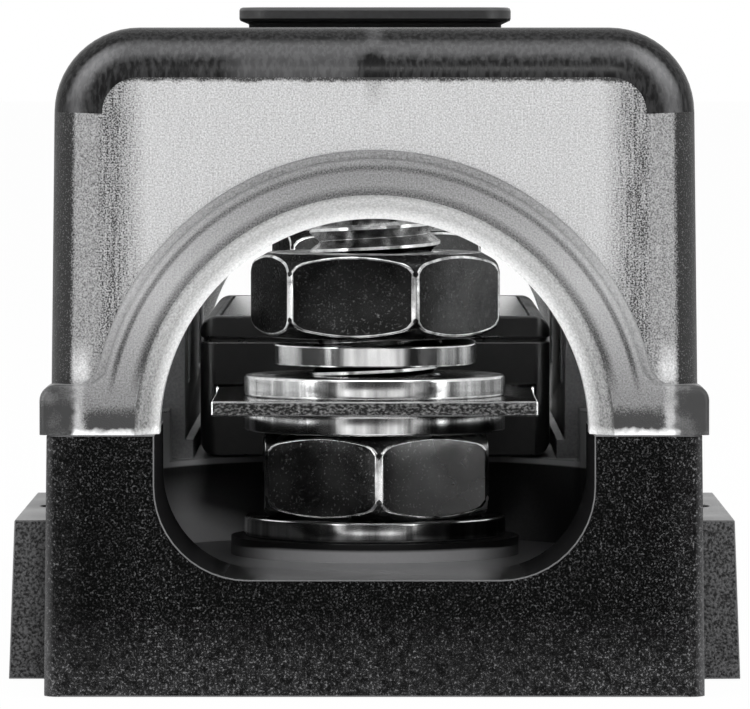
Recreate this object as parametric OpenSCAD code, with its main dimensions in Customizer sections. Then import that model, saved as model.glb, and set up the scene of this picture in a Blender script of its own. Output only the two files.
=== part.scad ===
// Bolt-down fuse holder: moulded base, clear cover, two clamped studs and a strip fuse.
// Millimetres, +Z up, origin at the middle of the base's underside. The length runs along Y.

/* [Base] */
// Length of the base from end face to end face
base_len = 105; // [95:1:125]
// Width of the base at its underside
base_w = 38.4; // [36:0.2:44]
// Draft of each side wall over the height of the base
base_draft = 0.2; // [0:0.05:0.5]
// Height of the base, up to the joint with the cover
base_h = 15.2; // [14.6:0.1:18]
// Radius of the base's upright corners
base_corner_r = 1; // [0.4:0.1:2]
// Width of the cable channel at each end
mouth_w = 25.5; // [23:0.25:27]
// Radius between the channel's floor and its sides
mouth_r = 5.4; // [3:0.1:7]
// Height of the channel's floor
sill_z = 6.8; // [6:0.1:7.4]
// Height of the platform under the fuse
platform_z = 12; // [11:0.1:12.4]
// Thickness of the moulded floors above the hollows of the underside
floor_t = 2.6; // [2:0.1:3.2]
// Thickness of the ribs under the base
rib_t = 1.6; // [1:0.1:2.4]
// Thickness of the side walls beside a stud's round well
well_wall_t = 4.9; // [4.6:0.1:6]
// Thickness of the side walls beside the fuse
side_wall_t = 2.2; // [1.8:0.1:2.6]

/* [Screw lugs] */
// How far a lug stands out from the side of the base
lug_out = 2.65; // [2:0.05:3]
// Draft of a lug over its height
lug_draft = 0.35; // [0:0.05:0.6]
// Height of a lug
lug_h = 9.5; // [8:0.1:10.5]
// Length of a lug
lug_len = 26; // [20:1:28]
// Distance from the end face to the start of a lug
lug_setback = 11.4; // [9:0.2:13]
// Diameter of a screw hole
screw_d = 4.3; // [3.4:0.1:4.4]
// Diameter of the relief for a screw's head
screw_head_d = 7.2; // [6.6:0.1:7.6]

/* [Fuse guides] */
// Height of the guide towers above the base's underside
tower_z = 20.9; // [18:0.1:23]
// Length of the guide towers
tower_len = 42; // [36:1:44]
// Thickness of the guide towers
tower_t = 3; // [2.4:0.1:3.2]
// Height of the ledge at the foot of each tower
ledge_h = 1.2; // [0.6:0.1:2]
// How far the ledge reaches in under the tower
ledge_w = 0.5; // [0.3:0.1:0.7]
// Width of the slots through the towers
tower_slot_w = 6; // [4:0.5:8]

/* [Cover] */
// Height of the cover above the base
cover_h = 23.6; // [21:0.1:28]
// How far the cover's wall lies inside the side of the base
cover_inset = 0.3; // [0.2:0.05:0.6]
// Draft of each wall of the cover over its height
cover_draft = 0.3; // [0:0.05:0.6]
// Thickness of the cover's walls
cover_t = 1.9; // [1.5:0.1:2.2]
// Radius of the long top edges
cover_edge_r = 4.9; // [3:0.1:6]
// Radius of the edges round the end walls
cover_end_r = 2.9; // [2.4:0.1:4]
// Height of the flange along the foot of the cover
flange_h = 2.9; // [2:0.1:4]
// How far the flange stands out past the base
flange_out = 0.2; // [0:0.05:0.4]
// Radius of the flange's top edge
flange_r = 0.6; // [0.3:0.1:1]
// Radius of the cable arch in each end wall
arch_r = 12.5; // [11.5:0.1:12.7]
// Width of the bevel round the arch
arch_bevel = 1.4; // [0.8:0.1:1.8]
// Outer radius of the collar round the arch
collar_r = 16; // [15:0.1:16.4]
// How far the collar stands out from the end wall
collar_proud = 0.8; // [0.4:0.1:1.2]
// Depth of the collar, from its face inwards
collar_depth = 4; // [3:0.1:6]
// Radius where the collar runs into the flange
collar_foot_r = 1.45; // [0.8:0.05:1.6]
// Length of each locating tab
tab_len = 8; // [5:0.5:10]
// Thickness of each locating tab
tab_t = 1.2; // [0.9:0.05:1.3]
// How far a tab reaches down into the base
tab_depth = 2.6; // [1.6:0.1:2.8]
// Spacing of the two tabs on one side
tab_pitch = 24; // [18:1:30]

/* [Top plate] */
// Width of the plate on top of the cover
plate_w = 17.1; // [12:0.1:22]
// Length of the plate on top of the cover
plate_len = 40; // [30:1:60]
// Thickness of the plate's rim
plate_rim_t = 0.9; // [0.6:0.1:1.4]
// Height of the neck below the rim
plate_neck_h = 0.6; // [0.4:0.1:1]
// How far the rim hangs over the neck
plate_overhang = 0.6; // [0.3:0.1:1]
// Radius of the plate's corners
plate_r = 2; // [1.2:0.1:3]

/* [Studs and nuts] */
// Distance between the two studs
stud_pitch = 61.5; // [60:0.1:64]
// Nominal diameter of the stud's thread
stud_d = 8; // [7:0.1:8.4]
// How far the stud stands out above its top nut
stud_free = 2.9; // [2:0.1:5]
// How far the shank under the nuts lies below the thread's nominal radius
clamped_relief = 0.2; // [0.16:0.01:0.4]
// Width across flats of the stud's head and the nuts
hex_af = 13.6; // [12.4:0.1:14]
// Height of the stud's head
head_h = 3; // [2.4:0.1:3.2]
// Height of a nut
nut_h = 5.2; // [4:0.1:6.5]
// Diameter of a nut's end faces, inside the chamfer
nut_face_d = 11.8; // [11:0.1:12.2]
// Angle that each top nut stopped at, front and rear
top_nut_turns = [48.6, 41]; // [0:0.1:60]
// Angle that each lower nut stopped at, front and rear
lower_nut_turns = [32, 8]; // [0:0.1:60]
// Diameter of the flat washers
washer_d = 16; // [14.5:0.1:17]
// Thickness of the flat washers
washer_t = 1.25; // [0.8:0.05:1.6]
// Height of the pad that the bottom washer sits on
pad_h = 1.1; // [0.6:0.1:1.6]
// Diameter of that pad
pad_d = 17.6; // [17:0.1:19]
// Outer diameter of the spring washer
spring_d = 12.4; // [11.5:0.1:14]
// Height of the spring washer's wire
spring_t = 1.25; // [1:0.05:1.8]
// Height of the spring washer from end to end
spring_h = 2.25; // [2.2:0.05:3.4]
// Share of the spring washer's rise that its level stretch has reached
spring_level = 0.65; // [0.3:0.05:0.9]
// Width of the split in the spring washer, in degrees
spring_split = 14; // [8:1:24]
// Side that the split of each spring washer faces, front and rear
spring_turns = [58, 152]; // [-180:1:180]

/* [Fuse] */
// Length of the fuse strip from tip to tip
strip_len = 79; // [76:1:86]
// Width of the strip's blades
strip_w = 19.6; // [18:0.1:21]
// How far the strip lies inside the sides of the housing where it passes through
strip_inset = 1; // [0.6:0.1:2]
// Thickness of the fuse strip
strip_t = 0.9; // [0.8:0.1:1.2]
// Width of the slot in each blade
strip_slot_w = 8.8; // [8.6:0.1:10]
// Length of the slot in each blade
strip_slot_len = 12; // [10.5:0.5:14]
// Width of the strip's link inside the housing
link_w = 5; // [3:0.5:8]
// Length of the strip's link
link_len = 14; // [8:0.5:20]
// Length of the fuse housing
housing_len = 40; // [36:0.5:42]
// Width of the fuse housing
housing_w = 22; // [21.4:0.1:22.4]
// Height of the fuse housing
housing_h = 8.8; // [7.6:0.1:9.4]
// Wall of the fuse housing
housing_t = 2; // [1.4:0.1:2.6]
// How far the seam round the housing lies below its top
housing_seam_drop = 1.6; // [1.5:0.1:2.4]
// Height of that seam
housing_seam_h = 0.25; // [0.15:0.05:0.5]
// Depth of that seam
housing_seam_depth = 0.2; // [0.1:0.05:0.4]
// Radius of the fuse housing's upright and long edges
housing_r = 1; // [0.5:0.1:1.6]
// Thickness of the clear window in the top of the housing
window_t = 1.4; // [1:0.1:1.8]
// Width of the rim that holds the window
window_rim = 1.2; // [0.8:0.1:1.3]

/* [Fits] */
// Clearance between pieces that slide or turn on each other
running_gap = 0.06; // [0.03:0.01:0.1]
// Clearance between pieces that lie in a seat
seat_gap = 0.1; // [0.05:0.01:0.15]
// Clearance round the cover's tabs and under the fuse
loose_gap = 0.3; // [0.2:0.05:0.4]

/* [Hidden] */
$fn = 96;
// Overlap of cutting shapes with the faces that they cut
eps = 0.02;
// The two ends of the holder: front is towards -Y
FRONT = 0;
REAR = 1;
base_top_w = base_w - 2 * base_draft;
stud_y = stud_pitch / 2;
well_r = base_top_w / 2 - well_wall_t;
tower_in = housing_w / 2 + loose_gap + ledge_w + seat_gap;
tower_out = tower_in + tower_t;
trough_half = base_top_w / 2 - side_wall_t;
lug_half = base_w / 2 + lug_out;
screw_x = base_w / 2 - screw_head_d / 2 + lug_out + base_draft;
screw_y = base_len / 2 - lug_setback - lug_len / 2;
// Heights of the clamped stack, from the pad upwards
pad_z = sill_z + pad_h;
lower_nut_z = pad_z + washer_t;
contact_washer_z = lower_nut_z + nut_h;
strip_z = contact_washer_z + washer_t;
upper_washer_z = strip_z + strip_t;
spring_z = upper_washer_z + washer_t;
top_nut_z = spring_z + spring_h + running_gap;
stud_top_z = top_nut_z + nut_h + stud_free;
head_z = sill_z - floor_t - head_h;
bore_r = stud_d / 2 + running_gap;
thread_end = stud_d / 10;
hex_corner_d = hex_af / cos(30);
// The cover
cover_top_z = base_h + cover_h;
cover_w = base_w - 2 * cover_inset;
cover_len = base_len - 2 * collar_proud;
flange_w = base_top_w + 2 * flange_out + 2 * base_draft;
tab_x = trough_half - loose_gap - tab_t / 2;
// The fuse: its housing is centred on the strip, a little above it
housing_z = platform_z + seat_gap;
window_z = housing_z + housing_h - window_t;
strip_root_w = housing_w - 2 * strip_inset;
// Segments of the spring washer, the share of its turn that climbs to the level stretch,
// and the share at which its tip starts to turn up
SPRING_STEPS = 60;
SPRING_CLIMB = 0.32;
SPRING_TIP = 0.76;

// An upright slab with rounded corners
module rounded_slab(w, len, h, r) {
    linear_extrude(h) rounded_rect(w, len, r);
}

module rounded_rect(w, len, r) {
    square([w - 2 * r, len], center = true);
    square([w, len - 2 * r], center = true);
    for (x = [-1, 1], y = [-1, 1])
        translate([x * (w / 2 - r), y * (len / 2 - r)]) circle(r);
}

module slot_outline(w, len) {
    square([w, len - w], center = true);
    for (y = [-1, 1]) translate([0, y * (len - w) / 2]) circle(d = w);
}

// The outline of a wall with draft and round top corners, standing on y = 0
module round_top_outline(w_bottom, w_top, h, r) {
    polygon([
        [-w_bottom / 2, 0], [w_bottom / 2, 0], [w_top / 2, h - r],
        [w_top / 2 - r, h], [r - w_top / 2, h], [-w_top / 2, h - r]
    ]);
    for (x = [-1, 1])
        translate([x * (w_top / 2 - r), h - r]) circle(r);
}

// A block with draft, round long edges, round end edges and round upright corners
module moulded_block(w_bottom, w_top, len, h, edge_r, end_r, corner_r) {
    intersection() {
        translate([0, len / 2, 0]) rotate([90, 0, 0])
            linear_extrude(len) round_top_outline(w_bottom, w_top, h, edge_r);
        translate([-w_bottom / 2, 0, 0]) rotate([90, 0, 90])
            linear_extrude(w_bottom) round_top_outline(len, len, h, end_r);
        rounded_slab(w_bottom, len, h, corner_r);
    }
}

// The outline of the cable channel, cut open at the top
module channel_outline() {
    half = mouth_w / 2;
    translate([-half, sill_z + mouth_r]) square([mouth_w, base_h]);
    translate([mouth_r - half, sill_z]) square([mouth_w - 2 * mouth_r, base_h]);
    for (x = [-1, 1])
        translate([x * (half - mouth_r), sill_z + mouth_r]) circle(mouth_r);
}

module at_both_ends() {
    for (turn = [0, 180]) rotate([0, 0, turn]) children();
}

module at_screws() {
    for (x = [-1, 1], y = [-1, 1]) translate([x * screw_x, y * screw_y, 0]) children();
}

module hex_prism(af, h) {
    cylinder(d = af / cos(30), h = h, $fn = 6);
}

// Side lugs that widen the foot at the four screws
module lugs() {
    for (y = [-1, 1])
        translate([0, y * screw_y + lug_len / 2, 0]) rotate([90, 0, 0])
            linear_extrude(lug_len)
                polygon([
                    [-lug_half, 0], [lug_half, 0],
                    [lug_half - lug_draft, lug_h], [lug_draft - lug_half, lug_h]
                ]);
}

// The trough of the fuse and the channel and round well of each stud
module base_hollows() {
    trough_len = tower_len + 2 * loose_gap;
    translate([-trough_half, -trough_len / 2, platform_z])
        cube([2 * trough_half, trough_len, base_h]);
    translate([-mouth_w / 2, -stud_y, platform_z]) cube([mouth_w, stud_pitch, base_h]);
    at_both_ends() {
        translate([0, -stud_y, 0]) rotate([90, 0, 0])
            linear_extrude(base_len) channel_outline();
        translate([0, -stud_y, sill_z]) cylinder(r = well_r, h = base_h);
    }
}

// Walls that guide the fuse housing, with a ledge at the foot and slots through
module fuse_guides() {
    slot_h = (tower_z - platform_z) / 2;
    for (side = [0, 180]) rotate([0, 0, side]) {
        translate([tower_in - ledge_w, -tower_len / 2, platform_z - eps])
            cube([tower_t + ledge_w, tower_len, ledge_h + eps]);
        difference() {
            translate([tower_in, -tower_len / 2, platform_z - eps])
                cube([tower_t, tower_len, tower_z - platform_z + eps]);
            for (y = [-1, 1])
                translate([tower_in - eps, y * tab_pitch / 2 - tower_slot_w / 2, tower_z - slot_h])
                    cube([tower_t + 2 * eps, tower_slot_w, slot_h + eps]);
        }
    }
}

// Hollows of the underside between moulded ribs
module underside_hollows() {
    columns = 4;
    rows = 4;
    span_x = 2 * trough_half;
    span_y = stud_pitch - 2 * well_r - 2 * rib_t;
    end_y = base_len / 2 - stud_y - pad_d / 2 - 2 * rib_t;
    step_x = span_x / columns;
    step_y = span_y / rows;
    for (i = [0 : columns - 1]) translate([(i + 0.5) * step_x - span_x / 2, 0, -eps]) {
        for (j = [0 : rows - 1]) translate([0, (j + 0.5) * step_y - span_y / 2, 0])
            rounded_slab(step_x - rib_t, step_y - rib_t, platform_z - floor_t + eps, rib_t / 2);
        for (y = [-1, 1]) translate([0, y * (base_len / 2 - rib_t - end_y / 2), 0])
            rounded_slab(step_x - rib_t, end_y - rib_t, sill_z - floor_t + eps, rib_t / 2);
    }
}

module base() {
    color("#1b1b1c") difference() {
        union() {
            difference() {
                union() {
                    intersection() {
                        translate([0, base_len / 2, 0]) rotate([90, 0, 0])
                            linear_extrude(base_len) polygon([
                                [-base_w / 2, 0], [base_w / 2, 0],
                                [base_top_w / 2, base_h], [-base_top_w / 2, base_h]
                            ]);
                        rounded_slab(base_w, base_len, base_h, base_corner_r);
                    }
                    lugs();
                }
                base_hollows();
            }
            fuse_guides();
            for (y = [-1, 1]) translate([0, y * stud_y, sill_z - eps])
                cylinder(d = pad_d, h = pad_h + eps);
        }
        underside_hollows();
        for (y = [-1, 1]) translate([0, y * stud_y, 0]) {
            cylinder(r = bore_r, h = base_h);
            translate([0, 0, -eps]) hex_prism(hex_af + 2 * seat_gap, sill_z - floor_t + eps);
        }
        at_screws() {
            translate([0, 0, -eps]) cylinder(d = screw_d, h = lug_h + 2 * eps);
            translate([0, 0, lug_h]) cylinder(d = screw_head_d, h = base_h);
        }
    }
}

// Half ring round the cable arch, flared into the flange at its feet
module collar_outline() {
    foot_z = flange_h + collar_foot_r;
    foot_reach = collar_r + collar_foot_r;
    foot_x = sqrt(foot_reach * foot_reach - foot_z * foot_z);
    meet_x = sqrt(collar_r * collar_r - flange_h * flange_h);
    intersection() {
        circle(collar_r);
        translate([-collar_r, 0]) square([2 * collar_r, collar_r]);
    }
    for (side = [0, 1]) mirror([side, 0]) difference() {
        polygon([
            [meet_x - flange_h, flange_h - eps], [foot_x, flange_h - eps], [foot_x, foot_z],
            [foot_x * collar_r / foot_reach, foot_z * collar_r / foot_reach]
        ]);
        translate([foot_x, foot_z]) circle(collar_foot_r);
    }
}

module cover_shell() {
    top_w = cover_w - 2 * cover_draft;
    difference() {
        union() {
            moulded_block(cover_w, top_w, cover_len, cover_h,
                cover_edge_r, cover_end_r, cover_end_r);
            moulded_block(flange_w, flange_w, base_len, flange_h,
                flange_r, flange_r, base_corner_r);
        }
        translate([0, 0, -eps])
            moulded_block(cover_w - 2 * cover_t, top_w - 2 * cover_t, cover_len - 2 * cover_t,
                cover_h - cover_t + eps, cover_edge_r - cover_t,
                cover_end_r - cover_t, cover_end_r - cover_t);
    }
}

// Tabs along both sides that drop inside the base's walls
module cover_tabs() {
    root_h = flange_h;
    root_x = cover_w / 2 - cover_t / 2;
    for (side = [0, 180], y = [-1, 1]) rotate([0, 0, side])
        translate([0, y * tab_pitch / 2 + tab_len / 2, 0]) rotate([90, 0, 0])
            linear_extrude(tab_len) polygon([
                [tab_x - tab_t / 2, -tab_depth], [tab_x + tab_t / 2, -tab_depth],
                [tab_x + tab_t / 2, 0], [root_x, 0], [root_x, root_h + tab_t],
                [tab_x - tab_t / 2, root_h]
            ]);
}

module cover() {
    color("#d8dde0", 0.45) translate([0, 0, base_h]) difference() {
        union() {
            cover_shell();
            at_both_ends() translate([0, -base_len / 2 + collar_depth, 0]) rotate([90, 0, 0])
                linear_extrude(collar_depth) collar_outline();
            cover_tabs();
        }
        at_both_ends() translate([0, -base_len / 2, 0]) rotate([-90, 0, 0]) {
            translate([0, 0, -eps]) cylinder(r = arch_r, h = 2 * collar_depth);
            translate([0, 0, -eps])
                cylinder(r1 = arch_r + arch_bevel + eps, r2 = arch_r, h = arch_bevel + eps);
        }
    }
}

module top_plate() {
    color("#2a2a2c") translate([0, 0, cover_top_z]) {
        rounded_slab(plate_w - 2 * plate_overhang, plate_len - 2 * plate_overhang,
            plate_neck_h + eps, plate_r - plate_overhang);
        translate([0, 0, plate_neck_h]) rounded_slab(plate_w, plate_len, plate_rim_t, plate_r);
    }
}

// Stands a piece on the stud of one end, turned about the stud
module at_stud(end, z, turn = 0) {
    translate([0, end == FRONT ? -stud_y : stud_y, z]) rotate([0, 0, turn]) children();
}

module stud(end) {
    color("#c9cbcc") at_stud(end, head_z) {
        hex_prism(hex_af, head_h);
        cylinder(r = stud_d / 2 - clamped_relief, h = top_nut_z + nut_h - head_z);
        translate([0, 0, top_nut_z + nut_h - head_z]) {
            cylinder(d = stud_d, h = stud_free - thread_end);
            translate([0, 0, stud_free - thread_end])
                cylinder(d1 = stud_d, d2 = stud_d - 2 * thread_end, h = thread_end);
        }
    }
}

module flat_washer(end, z) {
    color("#d2d4d6") at_stud(end, z) difference() {
        cylinder(d = washer_d, h = washer_t);
        translate([0, 0, -eps]) cylinder(r = bore_r, h = washer_t + 2 * eps);
    }
}

// A hexagon nut whose corners are turned down at both faces
module hex_nut(end, z, turn) {
    face_r = nut_face_d / 2;
    corner_r = hex_corner_d / 2 + eps;
    rise = (corner_r - face_r) * tan(30);
    color("#d6d8da") at_stud(end, z, turn) difference() {
        intersection() {
            hex_prism(hex_af, nut_h);
            rotate_extrude() polygon([
                [0, 0], [face_r, 0], [corner_r, rise], [corner_r, nut_h - rise],
                [face_r, nut_h], [0, nut_h]
            ]);
        }
        translate([0, 0, -eps]) cylinder(r = bore_r, h = nut_h + 2 * eps);
    }
}

// A smooth step from 0 to 1 as t goes from a to b
function ease(a, b, t) = let (u = min(1, max(0, (t - a) / (b - a)))) u * u * (3 - 2 * u);

// How far the spring washer's wire has risen at a share t of its turn
function spring_rise(t) = (spring_h - spring_t)
    * (spring_level * ease(0, SPRING_CLIMB, t) + (1 - spring_level) * ease(SPRING_TIP, 1, t));

// One turn of square wire whose ends stand apart
module spring_washer(end) {
    inner_r = bore_r + seat_gap;
    outer_r = spring_d / 2;
    sweep = 360 - spring_split;
    section = [[inner_r, 0], [outer_r, 0], [outer_r, spring_t], [inner_r, spring_t]];
    points = [
        for (i = [0 : SPRING_STEPS], p = section)
            let (t = i / SPRING_STEPS, a = spring_split / 2 + sweep * t)
            [p[0] * cos(a), p[0] * sin(a), p[1] + spring_rise(t)]
    ];
    sides = [
        for (i = [0 : SPRING_STEPS - 1], k = [0 : 3])
            let (a = 4 * i + k, b = 4 * i + (k + 1) % 4)
            [a, a + 4, b + 4, b]
    ];
    last = 4 * SPRING_STEPS;
    ends = [[0, 1, 2, 3], [last + 3, last + 2, last + 1, last]];
    color("#b9bbbd") at_stud(end, spring_z, spring_turns[end])
        polyhedron(points, concat(sides, ends), convexity = 4);
}

// The strip: two slotted blades joined by a narrow link that melts
module fuse_strip() {
    notch_w = (strip_root_w - link_w) / 2;
    root_len = housing_len + 2 * seat_gap;
    blade_len = (strip_len - root_len) / 2;
    color("#c4c2bd") translate([0, 0, strip_z]) linear_extrude(strip_t) difference() {
        union() {
            square([strip_root_w, root_len + 2 * eps], center = true);
            for (y = [-1, 1]) translate([0, y * (root_len + blade_len) / 2])
                square([strip_w, blade_len], center = true);
        }
        for (y = [-1, 1]) translate([0, y * stud_y])
            slot_outline(strip_slot_w, strip_slot_len);
        for (x = [-1, 1]) translate([x * (link_w / 2 + notch_w / 2 + eps / 2), 0])
            square([notch_w + eps, link_len], center = true);
    }
}

module fuse_housing() {
    bed = 2 * seat_gap + strip_t;
    window_w = housing_w - 2 * window_rim;
    window_len = housing_len - 2 * window_rim;
    color("#151516") difference() {
        translate([0, 0, housing_z]) intersection() {
            rounded_slab(housing_w, housing_len, housing_h, housing_r);
            translate([0, housing_len / 2, housing_h / 2]) rotate([90, 0, 0])
                rounded_slab(housing_w, housing_h, housing_len, housing_r);
        }
        translate([0, 0, housing_z + housing_t])
            rounded_slab(housing_w - 2 * housing_t, housing_len - 2 * housing_t,
                housing_h, housing_r);
        translate([0, 0, window_z])
            rounded_slab(window_w, window_len, window_t + eps, housing_r);
        translate([-strip_root_w / 2 - seat_gap, -housing_len, strip_z - seat_gap])
            cube([strip_root_w + 2 * seat_gap, 2 * housing_len, bed]);
        translate([0, 0, housing_z + housing_h - housing_seam_drop]) housing_seam();
    }
}

// The groove where the two halves of the housing meet
module housing_seam() {
    linear_extrude(housing_seam_h) difference() {
        square([2 * housing_w, 2 * housing_len], center = true);
        rounded_rect(housing_w - 2 * housing_seam_depth, housing_len - 2 * housing_seam_depth,
            housing_r);
    }
}

module fuse_window() {
    rim = window_rim + seat_gap;
    color("#a9adb0", 0.6) translate([0, 0, window_z])
        rounded_slab(housing_w - 2 * rim, housing_len - 2 * rim, window_t, housing_r);
}

base();
cover();
top_plate();
stud(FRONT);  // front_stud
flat_washer(FRONT, pad_z);  // front_base_washer
hex_nut(FRONT, lower_nut_z, lower_nut_turns[FRONT]);  // front_lower_nut
flat_washer(FRONT, contact_washer_z);  // front_contact_washer
flat_washer(FRONT, upper_washer_z);  // front_upper_washer
spring_washer(FRONT);  // front_spring_washer
hex_nut(FRONT, top_nut_z, top_nut_turns[FRONT]);  // front_top_nut
stud(REAR);  // rear_stud
flat_washer(REAR, pad_z);  // rear_base_washer
hex_nut(REAR, lower_nut_z, lower_nut_turns[REAR]);  // rear_lower_nut
flat_washer(REAR, contact_washer_z);  // rear_contact_washer
flat_washer(REAR, upper_washer_z);  // rear_upper_washer
spring_washer(REAR);  // rear_spring_washer
hex_nut(REAR, top_nut_z, top_nut_turns[REAR]);  // rear_top_nut
fuse_strip();
fuse_housing();
fuse_window();
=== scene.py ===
# %% [markdown]
# # A bolt-down strip fuse holder
# The holder is a black moulded base, a clear frosted cover with an arched cable mouth at each end,
# and a strip fuse clamped between nuts on two studs. The solids come in at their real size and
# place, in metres. This lesson gives them what a solid model lacks: rounded edges, screw threads
# and the finish of each surface. Nothing is moved or resized.

# %% Load the solids
import math

import bpy
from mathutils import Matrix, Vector


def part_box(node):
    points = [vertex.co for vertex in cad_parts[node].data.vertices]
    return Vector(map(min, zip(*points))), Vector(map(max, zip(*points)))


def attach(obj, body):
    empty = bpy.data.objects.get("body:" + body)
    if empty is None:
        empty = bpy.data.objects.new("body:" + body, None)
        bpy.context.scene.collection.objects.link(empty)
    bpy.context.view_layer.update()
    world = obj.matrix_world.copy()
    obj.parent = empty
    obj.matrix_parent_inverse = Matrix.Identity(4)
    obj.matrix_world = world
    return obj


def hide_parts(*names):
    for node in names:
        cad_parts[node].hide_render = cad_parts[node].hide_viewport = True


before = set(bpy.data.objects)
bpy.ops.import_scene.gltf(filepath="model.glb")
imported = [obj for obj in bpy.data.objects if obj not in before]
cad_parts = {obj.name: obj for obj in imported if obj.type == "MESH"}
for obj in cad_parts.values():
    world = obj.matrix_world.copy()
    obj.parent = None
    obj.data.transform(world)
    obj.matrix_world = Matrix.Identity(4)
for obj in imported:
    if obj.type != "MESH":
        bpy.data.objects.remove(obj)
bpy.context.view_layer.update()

MM = 0.001


def mm(*lengths):
    """Lengths in millimetres, turned into metres."""
    return tuple(length * MM for length in lengths)


# %% [markdown]
# ## The camera
# The photograph looks at one end of the holder from a little above, through a long lens. A camera
# could be placed by eye, but the receding edges of the holder meet in one point, and that point
# gives the tilt. The size of the parts behind the end face then gives the distance.

# %% Camera
PHOTO_W, PHOTO_H = 750, 709
VANISHING_X, VANISHING_Y = 383, 79
FOCAL_PX = 6505
SENSOR_MM = 36
EYE = Vector(mm(0.5, -428.5, 35.8))
NEAREST = 0.01

camera_data = bpy.data.cameras.new("photo_camera")
camera_data.sensor_fit = "HORIZONTAL"
camera_data.sensor_width = SENSOR_MM
camera_data.lens = FOCAL_PX * SENSOR_MM / PHOTO_W
camera_data.clip_start = NEAREST
camera = bpy.data.objects.new("photo_camera", camera_data)
bpy.context.scene.collection.objects.link(camera)
camera.location = EYE
tilt_down = math.atan((PHOTO_H / 2 - VANISHING_Y) / FOCAL_PX)
turn_left = math.atan((VANISHING_X - PHOTO_W / 2) / FOCAL_PX)
camera.rotation_euler = (math.pi / 2 - tilt_down, 0, turn_left)
bpy.context.scene.camera = camera
print("lens:", round(camera_data.lens), "mm, tilt:", round(math.degrees(tilt_down), 2), "degrees")

# %% [markdown]
# ## Small helpers: objects
# Every operator works on what is selected, so each step first lets go of everything and then takes
# the one piece it needs. A new primitive gets its name, and its place, turn and size go into its
# mesh, so that each piece sits at the origin as the solids do.

# %% Helpers for objects


def let_go():
    """Deselects everything."""
    bpy.ops.object.select_all(action="DESELECT")


def take_only(piece):
    """Selects one piece alone and makes it active."""
    let_go()
    piece.select_set(True)
    bpy.context.view_layer.objects.active = piece


def open_mesh():
    """Goes into edit mode."""
    bpy.ops.object.mode_set(mode="EDIT")


def close_mesh():
    """Goes back to object mode."""
    bpy.ops.object.mode_set(mode="OBJECT")


def pick_all():
    """Selects the whole mesh, in edit mode."""
    bpy.ops.mesh.select_all(action="SELECT")


def settle(name):
    """Names the new primitive and puts its place, turn and size into its mesh."""
    piece = bpy.context.active_object
    piece.name = name
    bpy.ops.object.transform_apply(location=True, rotation=True, scale=True)
    return piece


# %% [markdown]
# ## Small helpers: materials
# A material is a tree of nodes round one Principled shader. It could be wired node by node, but short
# functions keep the trees easy to read: one adds a node and fills its inputs, one starts a material,
# one feeds its shader, and the rest are the steps that come back all the time. Every pattern is
# placed by Object coordinates, so it stays on the piece.

# %% Helpers for materials
NOISE_RANGE = (0.3, 0.7)
COOL = 1.02
# The sockets of a Mix node that mixes colours
MIX_DARK, MIX_LIGHT, MIX_RESULT = 6, 7, 2


def add_node(tree, kind, options=None, **inputs):
    """A new shader node with its options set; an input takes a number, a colour or an output."""
    made = tree.nodes.new(kind)
    for option, value in (options or {}).items():
        setattr(made, option, value)
    for key, value in inputs.items():
        place = int(key[2:]) if key.startswith("in") and key[2:].isdigit() else key.replace("_", " ")
        if isinstance(value, bpy.types.NodeSocket):
            tree.links.new(value, made.inputs[place])
        else:
            made.inputs[place].default_value = value
    return made


def start_material(name, colour, roughness, **inputs):
    """A material with one Principled shader; returns the material, its tree and the shader."""
    material = bpy.data.materials.new(name)
    material.use_nodes = True
    tree = material.node_tree
    shader = tree.nodes["Principled BSDF"]
    shader.inputs["Base Color"].default_value = (*colour, 1)
    shader.inputs["Roughness"].default_value = roughness
    for key, value in inputs.items():
        shader.inputs[key.replace("_", " ")].default_value = value
    return material, tree, shader


def feed(tree, shader, **outputs):
    """Links outputs to the shader's inputs of those names."""
    for key, output in outputs.items():
        tree.links.new(output, shader.inputs[key.replace("_", " ")])


def grey(level):
    """A slightly cool grey."""
    return (level, level, COOL * level)


def two_colours(tree, share, dark, light):
    """A colour between dark and light."""
    mix = add_node(tree, "ShaderNodeMix", {"data_type": "RGBA"})
    tree.links.new(share, mix.inputs["Factor"])
    mix.inputs[MIX_DARK].default_value = (*dark, 1)
    mix.inputs[MIX_LIGHT].default_value = (*light, 1)
    return mix.outputs[MIX_RESULT]


def grain(tree, size, detail=2, rough=0.5, stretch=(1, 1, 1)):
    """Noise whose lumps are about size metres across, drawn out along the axes by stretch."""
    place = add_node(tree, "ShaderNodeTexCoord").outputs["Object"]
    stretched = add_node(tree, "ShaderNodeMapping", Vector=place, Scale=stretch).outputs["Vector"]
    return add_node(tree, "ShaderNodeTexNoise", Vector=stretched, Scale=0.5 / size, Detail=detail,
                    Roughness=rough).outputs["Fac"]


def maths(tree, operation, *values):
    """One Math node."""
    inputs = {f"in{i}": value for i, value in enumerate(values)}
    return add_node(tree, "ShaderNodeMath", {"operation": operation}, **inputs).outputs["Value"]


def times(tree, first, second):
    """The product of two values."""
    return maths(tree, "MULTIPLY", first, second)


def unsigned(tree, value):
    """A value without its sign, for what is alike on both sides."""
    return maths(tree, "ABSOLUTE", value)


def spread(tree, value, low, high, out_low, out_high):
    """Maps the stretch from low to high onto out_low to out_high, and holds it there."""
    return add_node(tree, "ShaderNodeMapRange", Value=value, From_Min=low, From_Max=high,
                    To_Min=out_low, To_Max=out_high).outputs["Result"]


def vary(tree, noise, low, high):
    """A value that follows the noise from low to high."""
    return spread(tree, noise, *NOISE_RANGE, low, high)


def band_of(tree, value, start, full, hold, end):
    """1 between full and hold, fading to 0 at start and at end."""
    return times(tree, spread(tree, value, start, full, 0, 1), spread(tree, value, hold, end, 1, 0))


def weighted(tree, start, *terms):
    """start plus each value times its weight."""
    total = start
    for value, weight in terms:
        total = maths(tree, "MULTIPLY_ADD", value, weight, total)
    return total


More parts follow.
